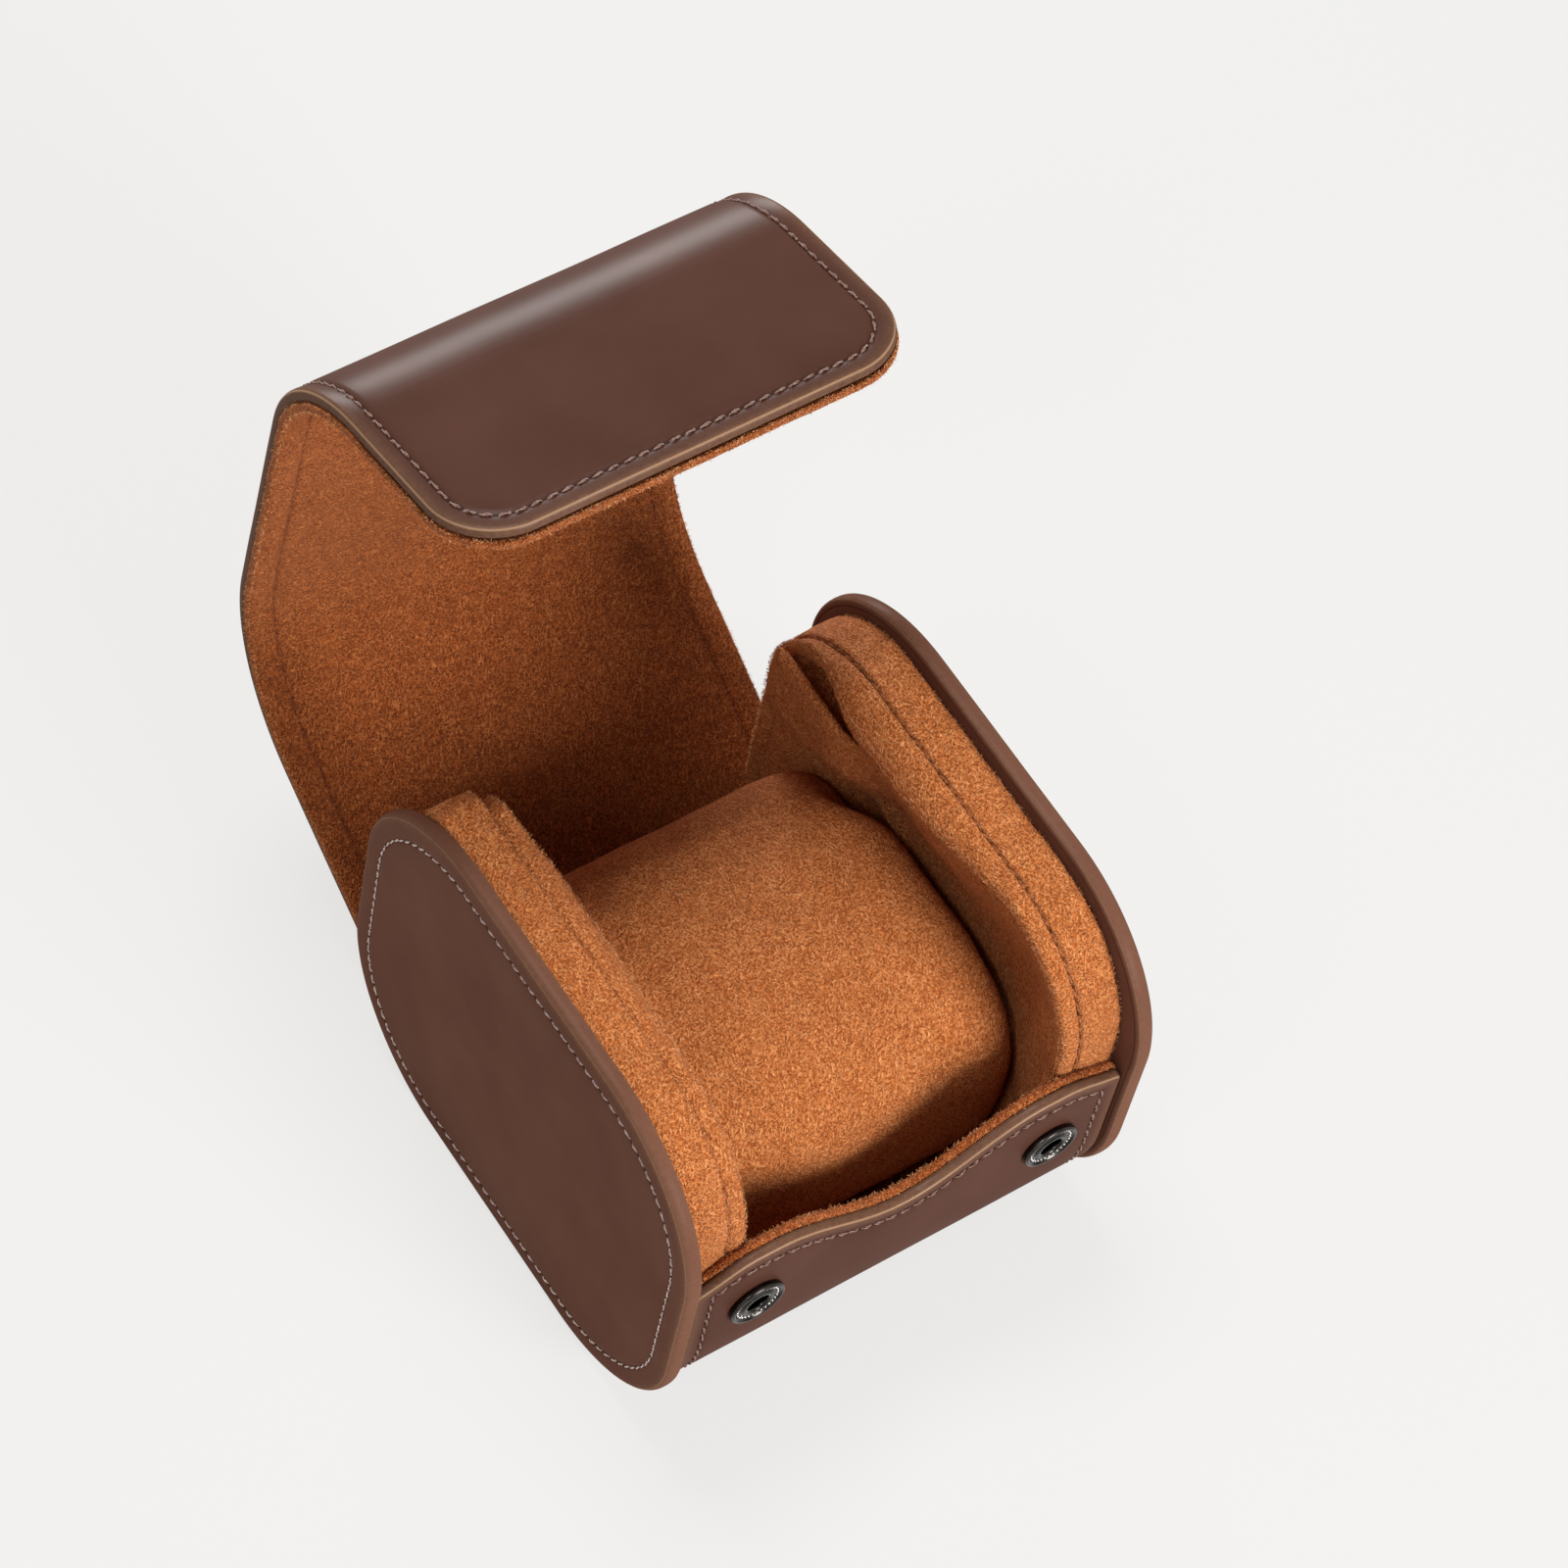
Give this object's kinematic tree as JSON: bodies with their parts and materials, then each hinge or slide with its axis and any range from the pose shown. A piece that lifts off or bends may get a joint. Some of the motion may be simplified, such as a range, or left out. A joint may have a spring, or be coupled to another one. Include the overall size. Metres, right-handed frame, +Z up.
{
  "type": "watch travel case",
  "caption": "Small travel case for one wristwatch: rounded leather end panels, suede side walls and lift-out cushion, and a soft-hinged leather wrap lid whose front flap snaps shut.",
  "frame": {"origin": "on the ground under the middle of the case, on the flat bottom of the wrap", "axes": "+X across the case towards its right end panel, -Y towards the front panel and its snaps, +Z up"},
  "size_m": [0.09, 0.1434, 0.1462],
  "materials": {
    "leather": "smooth dark brown leather with soft sheen, burnished edges and fine grain",
    "suede": "orange-tan suede with short uneven pile",
    "board": "grey pressed card",
    "interlining": "flexible bonded-leather interlining",
    "foam": "cream foam",
    "gunmetal": "dark gunmetal plating with bright worn rim"
  },
  "bodies": {
    "root": {"left_end_leather": "leather", "left_end_padding": "foam", "left_end_board": "board", "right_end_leather": "leather", "right_end_padding": "foam", "right_end_board": "board", "left_side_core": "foam", "left_side_band": "suede", "left_side_lip": "suede", "left_side_pad": "suede", "right_side_core": "foam", "right_side_band": "suede", "right_side_lip": "suede", "right_side_pad": "suede", "body_leather": "leather", "body_board": "board", "body_lining": "suede", "snap_sockets": "gunmetal", "snap_springs": "gunmetal", "socket_rivets": "gunmetal"},
    "lid_back": {"hinge_leather": "leather", "hinge_interlining": "interlining", "hinge_lining": "suede", "lid_back_leather": "leather", "lid_back_board": "board", "lid_back_lining": "suede"},
    "lid_top": {"back_crease_leather": "leather", "back_crease_interlining": "interlining", "back_crease_lining": "suede", "lid_top_leather": "leather", "lid_top_board": "board", "lid_top_lining": "suede"},
    "lid_flap": {"front_crease_leather": "leather", "front_crease_interlining": "interlining", "front_crease_lining": "suede", "flap_leather": "leather", "flap_board": "board", "flap_lining": "suede", "snap_studs": "gunmetal", "stud_rivets": "gunmetal"},
    "cushion": {"cushion_cover": "suede", "cushion_filling": "foam"}
  },
  "joints": [
    {"name": "lid_hinge", "type": "hinge", "parent": "root", "child": "lid_back", "pos_m": [0, 0.04197, 0.01436], "axis": [1, 0, 0], "range_deg": [0, 60.5], "deforming": ["hinge_leather", "hinge_interlining", "hinge_lining"]},
    {"name": "back_crease", "type": "hinge", "parent": "lid_back", "child": "lid_top", "pos_m": [0, 0.08762, 0.04471], "axis": [1, 0, 0], "range_deg": [0, 24.5], "deforming": ["back_crease_leather", "back_crease_interlining", "back_crease_lining"]},
    {"name": "flap_crease", "type": "hinge", "parent": "lid_top", "child": "lid_flap", "pos_m": [0, 0.08195, 0.12724], "axis": [1, 0, 0], "range_deg": [0, 19], "deforming": ["front_crease_leather", "front_crease_interlining", "front_crease_lining"]},
    {"name": "cushion_lift", "type": "slide", "parent": "root", "child": "cushion", "axis": [0, 0, 1], "range_m": [0, 0.02]}
  ],
  "couplings": [
    {"joint": "back_crease", "follows": "lid_hinge", "ratio": 0.40495}
  ]
}
